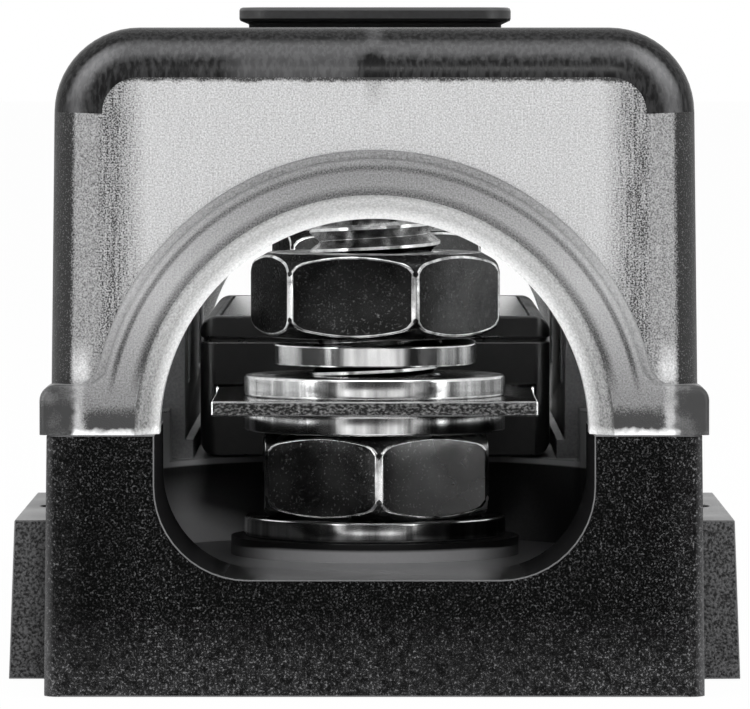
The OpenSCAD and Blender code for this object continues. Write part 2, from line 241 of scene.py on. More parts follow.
def wavy(tree, value, size, amount):
    """A value that wanders a little, for a line that isn't ruled straight."""
    return weighted(tree, value, (maths(tree, "SUBTRACT", grain(tree, size), 0.5), 2 * amount))


def relief(tree, height, depth, strength):
    """A bump of the given depth in metres."""
    return add_node(tree, "ShaderNodeBump", Height=height, Distance=depth,
                    Strength=strength).outputs["Normal"]


def place_parts(tree):
    """The X, Y and Z of the place on the piece."""
    place = add_node(tree, "ShaderNodeTexCoord").outputs["Object"]
    return add_node(tree, "ShaderNodeSeparateXYZ", Vector=place).outputs


def facing_parts(tree):
    """The X, Y and Z of the direction that the surface faces."""
    facing = add_node(tree, "ShaderNodeNewGeometry").outputs["Normal"]
    return add_node(tree, "ShaderNodeSeparateXYZ", Vector=facing).outputs


# %% [markdown]
# ## Floor and studio
# The photograph has a plain white surround. A curved white sheet could stand behind the holder, but
# metal and clear plastic have to see white all round. So the floor is pale, and the world is white
# to camera, mirror and see-through rays and dimmer to the rays that light the surfaces.

# %% Floor and studio
SURROUND_LIGHT = 0.5
FLOOR_SIZE = 20
FLOOR_DROP = 0.1 * MM
FLOOR_GLOW = 0.97


def white_to_lookers(tree):
    """1 for camera, mirror and see-through rays, 0 for the rays that carry light."""
    rays = add_node(tree, "ShaderNodeLightPath").outputs
    first = maths(tree, "MAXIMUM", rays["Is Camera Ray"], rays["Is Glossy Ray"])
    return maths(tree, "MAXIMUM", first, rays["Is Transmission Ray"])


world = bpy.data.worlds.new("white_studio")
bpy.context.scene.world = world
world.use_nodes = True
sky = world.node_tree
sky_strength = spread(sky, white_to_lookers(sky), 0, 1, SURROUND_LIGHT, 1.0)
sky.links.new(sky_strength, sky.nodes["Background"].inputs["Strength"])
sky.nodes["Background"].inputs["Color"].default_value = (1, 1, 1, 1)

let_go()
bpy.ops.mesh.primitive_plane_add(size=FLOOR_SIZE, location=(0, 0, -FLOOR_DROP))
floor = settle("floor")
pale, floor_tree, floor_shader = start_material("pale_floor", (0.9, 0.9, 0.9), 0.9)
floor_glow = add_node(floor_tree, "ShaderNodeEmission", Color=(1, 1, 1, 1), Strength=1.0)
seen = add_node(floor_tree, "ShaderNodeLightPath").outputs["Is Camera Ray"]
both = add_node(floor_tree, "ShaderNodeMixShader", in0=times(floor_tree, seen, FLOOR_GLOW),
                in1=floor_shader.outputs["BSDF"], in2=floor_glow.outputs["Emission"])
floor_tree.links.new(both.outputs["Shader"], floor_tree.nodes["Material Output"].inputs["Surface"])
floor.data.materials.append(pale)
bpy.context.scene.view_settings.view_transform = "Standard"
print("floor:", FLOOR_SIZE, "m wide")

# %% [markdown]
# ## Lamps and card
# Two tall soft boxes stand beside the camera, one hangs above, and one over the camera reaches into
# the stud wells. One large lamp would be simpler, but it leaves the nuts flat. A black card behind the
# camera, seen only in mirrors, gives the steel its dark faces.

# %% Lamps and card
AIM = Vector(mm(0, 0, 20))
CARD_W, CARD_H = 0.62, 0.5
CARD_Y, CARD_Z = -0.62, 0.05


def soft_box(name, azimuth, elevation, distance, width, height, watts):
    """A rectangular lamp that faces the holder. Azimuth 0 is the camera's side, 90 the right."""
    a, e = math.radians(azimuth), math.radians(elevation)
    away = Vector((math.sin(a) * math.cos(e), -math.cos(a) * math.cos(e), math.sin(e)))
    lamp_data = bpy.data.lights.new(name, "AREA")
    lamp_data.shape = "RECTANGLE"
    lamp_data.size = width
    lamp_data.size_y = height
    lamp_data.energy = watts
    lamp = bpy.data.objects.new(name, lamp_data)
    bpy.context.scene.collection.objects.link(lamp)
    lamp.location = AIM + away * distance
    lamp.rotation_euler = away.to_track_quat("Z", "Y").to_euler()
    return lamp


for lamp_name, lamp_azimuth in (("left_soft_box", -48), ("right_soft_box", 48)):
    soft_box(lamp_name, lamp_azimuth, elevation=18, distance=0.7, width=0.35, height=0.6, watts=1.6)
soft_box("top_soft_box", azimuth=0, elevation=80, distance=0.7, width=0.5, height=0.4, watts=1.6)
over_camera = soft_box("front_soft_box", azimuth=4, elevation=20, distance=0.8, width=0.06, height=0.06,
                       watts=3.2)
over_camera.visible_glossy = False

let_go()
bpy.ops.mesh.primitive_plane_add(size=1, location=(0, CARD_Y, CARD_Z), rotation=(math.pi / 2, 0, 0))
bpy.context.active_object.scale = (CARD_W, CARD_H, 1)
card = settle("black_card")
card.data.materials.append(start_material("black_card", (0.01, 0.01, 0.01), 1.0)[0])
card.visible_camera = False
card.visible_diffuse = False
card.visible_transmission = False
card.visible_shadow = False

# %% [markdown]
# ## Rounded edges
# A solid model has knife edges, and no moulded or stamped piece does. A thin round on each edge
# catches the light, and that line is what makes an edge look real. Each edge could be rounded by
# a Bevel modifier, but the solids arrive as loose triangles. So a copy is merged, its flat faces
# are cleaned, and only its sharp edges are bevelled. The new faces take the second material.

# %% Rounded edges
MERGE = 0.0005 * MM
FLAT = math.radians(0.4)
SHARP = math.radians(24)


def copy_of(node, name):
    """A merged copy of a solid with clean flat faces."""
    piece = bpy.data.objects.new(name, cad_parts[node].data.copy())
    piece.data.materials.clear()
    bpy.context.scene.collection.objects.link(piece)
    take_only(piece)
    open_mesh()
    bpy.ops.mesh.select_mode(type="EDGE")
    pick_all()
    bpy.ops.mesh.remove_doubles(threshold=MERGE)
    bpy.ops.mesh.dissolve_limited(angle_limit=FLAT)
    close_mesh()
    return piece


def edge_ends(piece, edge):
    """The places of an edge's two ends."""
    return [piece.data.vertices[i].co for i in edge.vertices]


def bevel(radius, steps, material=-1):
    """Rounds the selected edges in so many steps, and goes back to object mode."""
    bpy.ops.mesh.bevel(offset=radius, segments=steps, affect="EDGES", clamp_overlap=False,
                       material=material)
    close_mesh()


def round_edges(piece, radius, segments=2, wanted=None):
    """Rounds the sharp edges of a piece; the round takes the piece's second material.

    wanted is a test on an edge's two ends that picks some of the sharp edges."""
    take_only(piece)
    open_mesh()
    bpy.ops.mesh.select_mode(type="EDGE")
    bpy.ops.mesh.select_all(action="DESELECT")
    bpy.ops.mesh.edges_select_sharp(sharpness=SHARP)
    if wanted is not None:
        close_mesh()
        for edge in piece.data.edges:
            edge.select = edge.select and wanted(*edge_ends(piece, edge))
        open_mesh()
    bevel(radius, segments, material=1)


def hand_over(piece, body, slot, *nodes):
    """Smooths the shading of a finished piece, ties it to its body and hides its solids; slot is not used.
    """
    take_only(piece)
    bpy.ops.object.shade_smooth_by_angle(angle=SHARP)
    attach(piece, body)
    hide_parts(*nodes)
    low, high = Vector(piece.bound_box[0]), Vector(piece.bound_box[6])
    solid_low, solid_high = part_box(nodes[0])
    grown = max(max(a - b for a, b in zip(solid_low, low)), max(a - b for a, b in zip(high, solid_high)))
    print(piece.name, len(piece.data.polygons), "faces, grown", round(grown / MM, 3), "mm")


def rounded_piece(node, name, body, slot, radius, materials, segments=2, wanted=None):
    """A rounded copy of a solid with its own materials: the face, then the edge."""
    piece = copy_of(node, name)
    for material in materials:
        piece.data.materials.append(material)
    round_edges(piece, radius, segments, wanted)
    hand_over(piece, body, slot, node)
    return piece


# %% [markdown]
# ## Base: spark texture
# The base is black glass-filled plastic. Its end faces were spark-eroded in the mould, so they have
# a fine pale speckle, which is denser and hazier along the foot and the sides, where it is rubbed.
# A picture could hold this, but noise gives it at any scale. Dots of two sizes lie in clumps, and the place
# on the base says how many of them show. Where a face turns sideways, at the rounded corners, it is paler
# and shows more dots: a painted highlight.

# %% Spark texture
SPECK, SPOT, CLUMP, PATCH = mm(0.045, 0.075, 0.2, 5)
SPECK_DEPTH = 0.02 * MM
WORN_X, WORN_Z = mm(16.8, 19.4), mm(0.3, 5)
CORNER_SHEEN_TURN = (0.4, 0.95)


def spark_plastic():
    """Black with pale dots of two sizes, denser in patches and where it is worn, and paler on faces turned
    sideways, a painted highlight.
    """
    material, tree, shader = start_material("spark_plastic", grey(0.01), 0.5, Specular_IOR_Level=0.03)
    speck = grain(tree, SPECK, rough=0.7)
    spot = grain(tree, SPOT, detail=1, rough=0.6)
    patch = grain(tree, PATCH, detail=3)
    clump = spread(tree, grain(tree, CLUMP), 0.34, 0.66, 0.35, 1.65)
    dots = weighted(tree, spread(tree, speck, 0.54, 0.76, 0, 0.5),
                    (spread(tree, spot, 0.57, 0.76, 0, 1), 1.0))
    place = place_parts(tree)
    at_side = spread(tree, unsigned(tree, place["X"]), *WORN_X, 0, 1)
    at_foot = spread(tree, place["Z"], *WORN_Z, 1, 0)
    # Painted highlight: faces turned sideways, at the rounded corners, are paler and show more dots.
    corner = spread(tree, unsigned(tree, facing_parts(tree)["X"]), *CORNER_SHEEN_TURN, 0, 1)
    worn = weighted(tree, spread(tree, patch, 0.35, 0.65, 0.2, 0.7), (at_side, 0.4), (at_foot, 0.6),
                    (corner, 0.6))
    haze = weighted(tree, times(tree, dots, worn), (at_side, 0.05), (at_foot, 0.08))
    share = weighted(tree, times(tree, haze, clump), (corner, 0.5))
    feed(tree, shader, Base_Color=two_colours(tree, share, grey(0.0008), grey(0.12)),
         Roughness=vary(tree, patch, 0.45, 0.6), Normal=relief(tree, speck, SPECK_DEPTH, 0.6))
    return material


base_spark = spark_plastic()
print("spark dots:", SPECK / MM, "and", SPOT / MM, "mm")

# %% [markdown]
# ## Base: leather grain and satin skin
# The sides and the screw lugs have a coarser grain, like leather, and the insides are satin. Both could
# share the spark texture, but side light shows wrinkles where the ends show dots. So the leather is
# a deeper bump with pale crests, and the satin a shallow one with uneven polish. The satin of the
# insides is painted paler than the black outside, for the light that falls into them. Edges are the
# same stuff, rubbed smooth, and painted paler as a highlight.

# %% Leather grain, satin skin and edges
WRINKLE, WRINKLE_DEPTH = mm(0.085, 0.12)
SKIN_DEPTH, SKIN_PATCH, EDGE_WEAR = mm(0.02, 4, 0.6)
SKIN_PALER = 1.5


def leather_plastic():
    """Black with the fine wrinkles of a leather grain."""
    material, tree, shader = start_material("leather_plastic", grey(0.03), 0.5, Specular_IOR_Level=0.2)
    wrinkle = grain(tree, WRINKLE, rough=0.6)
    crest = spread(tree, wrinkle, 0.38, 0.62, 0, 1)
    feed(tree, shader, Base_Color=two_colours(tree, crest, grey(0.007), grey(0.075)),
         Roughness=vary(tree, wrinkle, 0.6, 0.38), Normal=relief(tree, wrinkle, WRINKLE_DEPTH, 0.8))
    return material


def satin_black(name, level, roughness, lump, shine=0.35):
    """Black plastic with a fine satin skin."""
    material, tree, shader = start_material(name, grey(level), roughness, Specular_IOR_Level=shine)
    skin = grain(tree, lump)
    crest = spread(tree, skin, 0.35, 0.75, 0, 1)
    feed(tree, shader, Base_Color=two_colours(tree, crest, grey(level), grey(SKIN_PALER * level)),
         Roughness=vary(tree, grain(tree, SKIN_PATCH), 0.85 * roughness, 1.2 * roughness),
         Normal=relief(tree, skin, SKIN_DEPTH, 0.4))
    return material


def rubbed_sheen_edge(name, level, roughness):
    """A finish for rounded edges: rubbed smooth, with a slight unevenness. Its grey, paler than the face's,
    is partly a painted highlight.
    """
    material, tree, shader = start_material(name, grey(level), roughness)
    wear = grain(tree, EDGE_WEAR, detail=3)
    feed(tree, shader, Roughness=vary(tree, wear, 0.7 * roughness, 1.4 * roughness))
    return material


# The insides' grey is painted paler than the black outside, for the light that falls into them.
WELL_LIT_LEVEL = 0.1
base_leather = leather_plastic()
base_edge = rubbed_sheen_edge("base_edge", level=0.09, roughness=0.35)
base_well = satin_black("base_well", WELL_LIT_LEVEL, roughness=0.35, lump=0.08 * MM, shine=0.2)
print("leather wrinkles:", WRINKLE / MM, "mm")

# %% [markdown]
# ## Base: channel and stud well
# Light reaches the channel's floor and leaves its sides and the well behind it almost black. Lamps
# alone could give that, but the cover's frost would scatter them. So light and shade are painted into
# the skin. It is paler on the floor, with painted shade up the sides, towards the mouth and under
# the washer. A painted lit patch lies low on the well's wall, and a painted highlight, a pale line,
# marks where the platform's edge stands behind it.

# %% Channel and stud well
CHANNEL_FADE_X = mm(6.6, 9)
SILL_X, SILL_Y = mm(6, 8.4), mm(39, 56)
PAD_SHADE_Z = mm(7.4, 7.6)
WELL_BACK_Y = mm(24, 29)
LIT_X, LIT_Z = mm(-11.5, -6.5), mm(8.6, 11.2)
RIM_HIGHLIGHT_Z = mm(11.62, 11.72)
FINE = 0.1 * MM
WELL_SHADE_BLACK = grey(0.004)


def channel_black():
    """The channel's skin: as pale as its floor in the middle, with painted shade up its sides."""
    material, tree, shader = start_material("channel_black", grey(0.012), 0.5, Specular_IOR_Level=0.0)
    out = unsigned(tree, place_parts(tree)["X"])
    share = weighted(tree, spread(tree, out, *CHANNEL_FADE_X, 0, 1), (grain(tree, FINE), 0.1))
    feed(tree, shader, Base_Color=two_colours(tree, share, grey(0.12), grey(0.012)))
    return material


def sill_black():
    """The floor and pad: painted light in the middle, painted shade towards the mouth and sides, and a
    black painted shadow under the washer.
    """
    material, tree, shader = start_material("sill_black", grey(WELL_LIT_LEVEL), 0.4, Specular_IOR_Level=0.2)
    place = place_parts(tree)
    mouth = spread(tree, unsigned(tree, place["Y"]), *SILL_Y, 0, 1)
    side = spread(tree, unsigned(tree, place["X"]), *SILL_X, 0, 1)
    under = spread(tree, place["Z"], *PAD_SHADE_Z, 0, 1)
    share = weighted(tree, 0.0, (mouth, 0.75), (side, 0.8), (under, 1.0), (grain(tree, FINE), 0.1))
    feed(tree, shader, Base_Color=two_colours(tree, share, grey(0.2), WELL_SHADE_BLACK))
    return material


def well_wall():
    """A well's round wall: black, with a painted lit patch low on one side and a painted highlight at the
    platform's edge.
    """
    material, tree, shader = start_material("well_wall", grey(WELL_LIT_LEVEL), 0.4, Specular_IOR_Level=0.1)
    place = place_parts(tree)
    behind = spread(tree, unsigned(tree, place["Y"]), *WELL_BACK_Y, 1, 0)
    lit = times(tree, spread(tree, place["X"], *LIT_X, 1, 0), spread(tree, place["Z"], *LIT_Z, 1, 0))
    # Painted highlight: a pale line where the platform's edge stands behind the well.
    rim = times(tree, behind, spread(tree, place["Z"], *RIM_HIGHLIGHT_Z, 0, 1))
    share = weighted(tree, 0.02, (lit, 0.45), (rim, 0.8), (grain(tree, FINE), 0.05))
    feed(tree, shader, Base_Color=two_colours(tree, share, WELL_SHADE_BLACK, grey(0.3)))
    return material


base_finishes = (base_spark, base_edge, base_leather, channel_black(), base_well, sill_black(), well_wall())
ON_SPARK, ON_EDGE, ON_LEATHER, ON_CHANNEL, ON_WELL, ON_SILL, ON_ROUND = range(len(base_finishes))
print("base finishes:", len(base_finishes))

# %% [markdown]
# ## Black moulded base
# The base keeps its solid's form: channels, stud wells, platform and guides are already there. It could
# be rounded all over, but its hidden ribs would gain thousands of faces. So only the edges that show
# are rounded, and each face then gets its finish by its place and direction.

# %% Base
END_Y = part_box("base")[1].y
COVER_H = 23.6 * MM
BASE_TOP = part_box("top_plate")[0].z - COVER_H
HAIR = 0.01 * MM
SIDE_X = 19.3 * MM
CORNER_R = 1 * MM
BASE_ROUND = 0.08 * MM
WELL_Y = 36.7 * MM
CHANNEL_FLOOR_X = 7.3 * MM
PAD_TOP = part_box("front_base_washer")[0].z
STUD_Y = sum(corner.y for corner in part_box("rear_stud")) / 2
PAD_R, WELL_R, WELL_ROOM, WELL_WALL_Z = mm(8.8, 14.1, 0.1, 12.4)
# How much of a face's normal lies along an axis
LEVEL, FACING, STEEP, LEANING = 0.98, 0.9, 0.5, 0.3


def shows_on_base(a, b):
    """True for an edge of an end face, the joint with the cover, a lug or a guide tower."""
    on_end = all(abs(abs(p.y) - END_Y) < HAIR for p in (a, b))
    on_joint = all(abs(p.z - BASE_TOP) < HAIR for p in (a, b))
    on_lug = all(abs(p.x) > SIDE_X for p in (a, b))
    on_tower = all(p.z > BASE_TOP + MM for p in (a, b))
    return on_end or on_joint or on_lug or on_tower


def base_finish(centre, normal):
    """The number of the finish at a place on the base."""
    outside = abs(centre.x) > SIDE_X or (abs(normal.x) > LEANING and abs(centre.x) > SIDE_X - CORNER_R)
    if abs(centre.y) > END_Y - CORNER_R and (outside or abs(normal.y) > FACING):
        return ON_SPARK
    if normal.z < -FACING:
        return ON_SPARK
    if outside:
        return ON_LEATHER
    from_stud = math.hypot(centre.x, abs(centre.y) - STUD_Y)
    if abs(from_stud - WELL_R) < WELL_ROOM and abs(normal.z) < STEEP and centre.z < WELL_WALL_Z:
        return ON_ROUND
    on_pad = from_stud < PAD_R + HAIR and centre.z < PAD_TOP
    on_floor = normal.z > LEVEL and centre.z < PAD_TOP - HAIR
    if on_pad or on_floor:
        return ON_SILL
    in_channel = abs(centre.y) > WELL_Y and abs(centre.x) > CHANNEL_FLOOR_X and normal.z < LEVEL
    return ON_CHANNEL if in_channel else ON_WELL


moulded_base = rounded_piece("base", "moulded_base", "holder", "base_plastic", BASE_ROUND, base_finishes,
                             wanted=shows_on_base)
for face in moulded_base.data.polygons:
    if face.material_index != ON_EDGE:
        face.material_index = base_finish(face.center, face.normal)

# %% [markdown]
# ## Clear cover: frosted end walls
# The cover is one clear moulding, but its surfaces differ. The end walls are frosted, with a fine
# sparkle and upright streaks. Painted shade stands for the side walls seen behind them, darkens their
# sides and top edge, and darkens the outer corners, which bend the light away from the eye. A painted
# highlight marks a bright patch near each foot, where the round gathers light, and a narrow strip at
# the middle under the top is darker. The plastic could be mixed with a Transparent shader, but that
# neither bends nor blurs what is behind it. Transmission does both, and roughness gives the frost.

# %% Frosted end walls
COVER_END_Y, COVER_END_R = mm(51.7, 2.9)
WALL_SHADE_X = mm(13.2, 15, 15.7, 16.1)
WALL_TOP_Z = (COVER_H - 3.2 * MM, COVER_H - 3.0 * MM)
CENTRE_DARK_X = mm(0.1, 0.8)
CENTRE_DARK_Z = (COVER_H - 4.5 * MM, COVER_H - 3.3 * MM)
GLINT_X, GLINT_Z = mm(16.3, 16.8, 17.4, 17.7), mm(2.7, 3.3, 3.9, 5.5)
SPARKLE, SPARKLE_DEPTH, STREAK = mm(0.05, 0.03, 0.08)
WALL_WAVE = mm(0.25, 0.2)
FROST_WHITE = (0.98, 0.98, 0.99)


def arch_place(tree):
    """The distance out from the middle, the height above the joint, and the distance from the axis."""
    place = place_parts(tree)
    out = unsigned(tree, place["X"])
    up = maths(tree, "SUBTRACT", place["Z"], BASE_TOP)
    squares = maths(tree, "ADD", times(tree, out, out), times(tree, up, up))
    return out, up, maths(tree, "SQRT", squares)


def frost(tree, size=SPARKLE, detail=1):
    """The sparkle of a frosted face, from 0 to 1."""
    return vary(tree, grain(tree, size, detail, rough=0.6), 0, 1)


def frosted_plastic():
    """The end wall: sparkle and upright streaks, with painted shade for the side walls behind it, at its
    sides, top edge and outer corners, a painted highlight near each foot, and a darker strip at the middle
    under the top.
    """
    material, tree, shader = start_material("frosted_plastic", grey(0.6), 0.45, IOR=1.5,
                                            Transmission_Weight=0.35)
    sparkle = frost(tree)
    streak = grain(tree, STREAK, stretch=(1, 1, 0.08))
    out, up, _ = arch_place(tree)
    high = wavy(tree, up, *WALL_WAVE)
    grit = times(tree, spread(tree, streak, 0.3, 0.65, 0.3, 1), spread(tree, sparkle, 0, 1, 1.4, 0.4))
    # Painted shade: the side walls seen behind the wall darken a grainy band near each side, and the wall
    # beyond it.
    shade = times(tree, band_of(tree, out, *WALL_SHADE_X), grit)
    side = spread(tree, out, *WALL_SHADE_X[2:], 0, 1)
    # Painted shade on the outer corners and along the wall's top edge.
    corner = spread(tree, unsigned(tree, facing_parts(tree)["X"]), 0.52, 0.62, 0, 1)
    painted_top_shade = spread(tree, high, *WALL_TOP_Z, 0, 1)
    # A darker strip at the middle, just under the top.
    centre_dark = times(tree, spread(tree, out, *CENTRE_DARK_X, 1, 0), spread(tree, high, *CENTRE_DARK_Z, 0, 1))
    # Painted highlight: a bright patch near each foot, where the round gathers light.
    painted_glint = times(tree, band_of(tree, out, *GLINT_X), band_of(tree, high, *GLINT_Z))
    tone = weighted(tree, 0.25, (sparkle, 0.38), (streak, 0.12), (shade, -0.5), (side, -0.24),
                    (corner, -0.34), (painted_top_shade, -0.5), (centre_dark, -0.16), (painted_glint, 0.4))
    feed(tree, shader, Base_Color=two_colours(tree, tone, grey(0.006), FROST_WHITE),
         Roughness=vary(tree, streak, 0.36, 0.52),
         Specular_IOR_Level=spread(tree, corner, 0, 1, 0.5, 0.2),
         Normal=relief(tree, sparkle, SPARKLE_DEPTH, 0.5))
    return material


frosted_wall = frosted_plastic()
print("sparkle:", SPARKLE / MM, "mm")

# %% [markdown]
# ## Clear cover: polished band
# The round of each end's top edge is polished. Its near black is painted shade, and the grey gleam
# along it is a painted highlight. A paler patch left of the middle is a painted image of the plate seen
# through it, and the mark of the gate, where the plastic ran in, lies at its middle. A mirrored lamp
# could give the gleam, but it would move with the camera. So the way that the surface faces says where
# it is pale.

# %% Polished band
PLATE_IMAGE_X = mm(-9, -7.5, -1.3, -0.8)
GATE_X = mm(0.2, 0.7)
GLEAM_TURN, GLEAM_WAVE = (0.64, 0.78, 0.87, 0.95), (0.15 * MM, 0.04)
PEEL, PEEL_DEPTH = mm(0.12, 0.02)


def polished_plastic():
    """The round of the top edge, painted dark: a painted grey gleam along it, a painted image of the plate,
    and a gate mark in its middle.
    """
    material, tree, shader = start_material("polished_band", grey(0.02), 0.25, IOR=1.5,
                                            Specular_IOR_Level=0.04, Transmission_Weight=0.05)
    peel = grain(tree, PEEL, detail=3, stretch=(1, 1, 0.3))
    facing = facing_parts(tree)
    front = wavy(tree, unsigned(tree, facing["Y"]), *GLEAM_WAVE)
    # Painted highlight: a grey gleam along the round, brighter where it bends round the corners.
    gleam = band_of(tree, front, *GLEAM_TURN)
    lean = unsigned(tree, times(tree, facing["X"], facing["Z"]))
    corner_gleam = times(tree, gleam, spread(tree, lean, 0.06, 0.2, 0, 1))
    across = place_parts(tree)["X"]
    # A painted image of the plate, seen through the band left of the middle.
    behind = times(tree, band_of(tree, across, *PLATE_IMAGE_X), spread(tree, front, 0.86, 0.95, 0, 1))
    gate = spread(tree, unsigned(tree, across), *GATE_X, 1, 0)
    gate_shade = times(tree, gate, spread(tree, front, 0.7, 0.9, 1, -1.2))
    tone = weighted(tree, spread(tree, peel, 0.4, 0.8, 0, 0.1), (gleam, 0.2), (corner_gleam, 0.3),
                    (behind, 0.13), (gate_shade, 0.12))
    # The band's near black is painted shade.
    feed(tree, shader, Base_Color=two_colours(tree, tone, grey(0.007), grey(0.3)),
         Roughness=vary(tree, peel, 0.2, 0.34), Normal=relief(tree, peel, PEEL_DEPTH, 0.4))
    return material


polished_band = polished_plastic()
print("gate mark:", round(2 * GATE_X[1] / MM, 2), "mm wide")

# %% [markdown]
# ## Clear cover: collar, bevel and long sides
# The collar round the arch is smoother than the wall. Two soft dark rings run round it and fade into
# its feet, and each foot has a dark panel with a bright border. The bevel inside it is almost white.
# Rings and panel could be cut as grooves, but they are only light bent inside the clear plastic, so
# they are painted shade, drawn by the distance from the arch's axis and the height above the joint.
# The darker feet, crown and corners of the collar are painted shade too. Its bright border and strip
# are painted highlights, and so is the bevel's white inner edge. The long sides and the top are
# clearer, so that the fuse can be read.

# %% Collar, bevel and long sides
ARCH_R, ARCH_BEVEL = mm(12.5, 1.4)
BEVEL_WHITE = (ARCH_R + 0.1 * ARCH_BEVEL, ARCH_R + 0.5 * ARCH_BEVEL)
BEVEL_START, BEVEL_END = mm(13.65, 13.9), mm(14.1, 14.5)
COLLAR_LINE = mm(15.25, 15.4, 15.55, 15.7)
FEET_Z, CROWN_Z, LINES_Z = mm(2, 8), mm(9, 15), mm(2.2, 4.4)
PANEL_X, PANEL_Z = mm(12.6, 13.4, 16.4, 17.1), mm(0.3, 0.5, 0.9, 1.8)
STRIP_X, STRIP_Z = mm(16.7, 17, 17.2, 17.5), mm(1.2, 2)
FOOT_CORNER_X = mm(17.3, 17.7)
COLLAR_BORDER_Z, BEVEL_BORDER_Z = mm(0.12, 0.4), mm(0.12, 0.5)
FOOT_WAVE, SIDE_WAVE = mm(0.2, 0.25), mm(0.2, 0.3)
FOOT_PATCH, BEVEL_DEPTH, CLEAR_SKIN, CLEAR_DEPTH = mm(0.9, 0.05, 0.3, 0.02)
BEVEL_SPARKLE = 1.4 * SPARKLE


def collar_plastic():
    """The front frame: a grey collar between two painted dark lines, with painted shade on the feet, crown,
    panel and corners and painted highlights on the border and strip.
    """
    material, tree, shader = start_material("collar_plastic", grey(0.4), 0.38, IOR=1.5,
                                            Transmission_Weight=0.3)
    out, up, ring = arch_place(tree)
    high = wavy(tree, up, *FOOT_WAVE)
    wide = wavy(tree, out, *SIDE_WAVE)
    feet = spread(tree, up, *FEET_Z, 1, 0)
    crown = spread(tree, up, *CROWN_Z, 0, 1)
    drawn = times(tree, spread(tree, up, *LINES_Z, 0, 1), spread(tree, crown, 0, 1, 1, 0.45))
    inner_line = times(tree, spread(tree, ring, *BEVEL_END, 1, 0), drawn)
    outer_line = times(tree, band_of(tree, ring, *COLLAR_LINE), drawn)
    panel = times(tree, band_of(tree, wide, *PANEL_X), band_of(tree, high, *PANEL_Z))
    corner = spread(tree, wide, *FOOT_CORNER_X, 0, 1)
    border = times(tree, spread(tree, high, *COLLAR_BORDER_Z, 1, 0), spread(tree, corner, 0, 1, 1, 0))
    strip = times(tree, band_of(tree, wide, *STRIP_X), spread(tree, high, *STRIP_Z, 1, 0.5))
    worn = spread(tree, grain(tree, FOOT_PATCH, detail=3), 0.35, 0.65, 0, 1)
    sparkle = times(tree, frost(tree), spread(tree, corner, 0, 1, 1, 0.35))
    # Painted shade: the two lines, the feet, the crown, the panel and the corners. Painted highlights: the
    # border and the strip.
    tone = weighted(tree, 0.26, (sparkle, 0.17), (feet, -0.18), (crown, -0.18), (inner_line, -0.24),
                    (outer_line, -0.22), (panel, -0.25), (border, 0.7), (strip, 0.25), (corner, -0.17),
                    (times(tree, corner, worn), 0.14))
    feed(tree, shader, Base_Color=two_colours(tree, tone, grey(0.02), FROST_WHITE),
         Normal=relief(tree, sparkle, SPARKLE_DEPTH, 0.5))
    return material


def bevel_plastic():
    """The arch's bevel: painted white at its inner edge as a highlight, with painted shade where it meets
    the collar and at its feet.
    """
    material, tree, shader = start_material("bevel_plastic", (0.8, 0.8, 0.8), 0.3, IOR=1.5,
                                            Transmission_Weight=0.3)
    sparkle = frost(tree, BEVEL_SPARKLE, detail=2)
    _, up, ring = arch_place(tree)
    inner = spread(tree, ring, *BEVEL_WHITE, 1, 0)
    outer = spread(tree, ring, *BEVEL_START, 0, 1)
    feet = spread(tree, up, *FEET_Z, 1, 0)
    crown = spread(tree, up, *CROWN_Z, 0, 1)
    border = spread(tree, wavy(tree, up, *FOOT_WAVE), *BEVEL_BORDER_Z, 1, 0)
    # Painted highlight: the white inner edge, the paler crown and the border. Painted shade: the outer ring
    # and the feet.
    tone = weighted(tree, 0.29, (sparkle, 0.32), (inner, 0.45), (outer, -0.25), (feet, -0.25),
                    (crown, 0.1), (border, 0.5))
    feed(tree, shader, Base_Color=two_colours(tree, tone, (0.05, 0.05, 0.05), (0.99, 0.99, 0.99)),
         Normal=relief(tree, sparkle, BEVEL_DEPTH, 0.6))
    return material


def clear_plastic():
    """The long sides and the top: clear, with a faint moulded skin."""
    material, tree, shader = start_material("clear_plastic", (0.96, 0.97, 0.97), 0.14, IOR=1.5,
                                            Transmission_Weight=0.96)
    skin = grain(tree, CLEAR_SKIN, rough=0.6)
    feed(tree, shader, Roughness=vary(tree, skin, 0.1, 0.18), Normal=relief(tree, skin, CLEAR_DEPTH, 0.3))
    return material


cover_finishes = (frosted_wall, polished_band, bevel_plastic(), collar_plastic(), clear_plastic())
ON_WALL, ON_BAND, ON_BEVEL, ON_COLLAR, ON_SIDE = range(len(cover_finishes))
print("cover finishes:", len(cover_finishes))

# %% [markdown]
# ## Tools for building pieces
# The cover, the nuts and the studs are built anew, as they would be by hand: faces and edges are
# picked by place, a primitive is shaped, and Boolean modifiers join or cut the result. These short
# tools do each of those steps.

# %% Tools for building pieces


def clear_picks(kind):
    """Deselects the whole mesh and sets whether faces or edges are picked."""
    open_mesh()
    bpy.ops.mesh.select_mode(type=kind)
    bpy.ops.mesh.select_all(action="DESELECT")
    close_mesh()


def select_faces(piece, wanted):
    """Selects the faces whose centre and normal satisfy a test, in edit mode."""
    clear_picks("FACE")
    for face in piece.data.polygons:
        face.select = wanted(face.center, face.normal)
    open_mesh()


def select_edges(piece, wanted):
    """Selects the edges whose two ends satisfy a test, in edit mode."""
    clear_picks("EDGE")
    for edge in piece.data.edges:
        edge.select = wanted(*edge_ends(piece, edge))
    open_mesh()


def extrude(move):
    """Extrudes what is selected by a move."""
    bpy.ops.mesh.extrude_region_move(TRANSFORM_OT_translate={"value": move})


def shift(piece, move):
    """Moves the whole mesh of a piece."""
    take_only(piece)
    open_mesh()
    pick_all()
    bpy.ops.transform.translate(value=move)
    close_mesh()


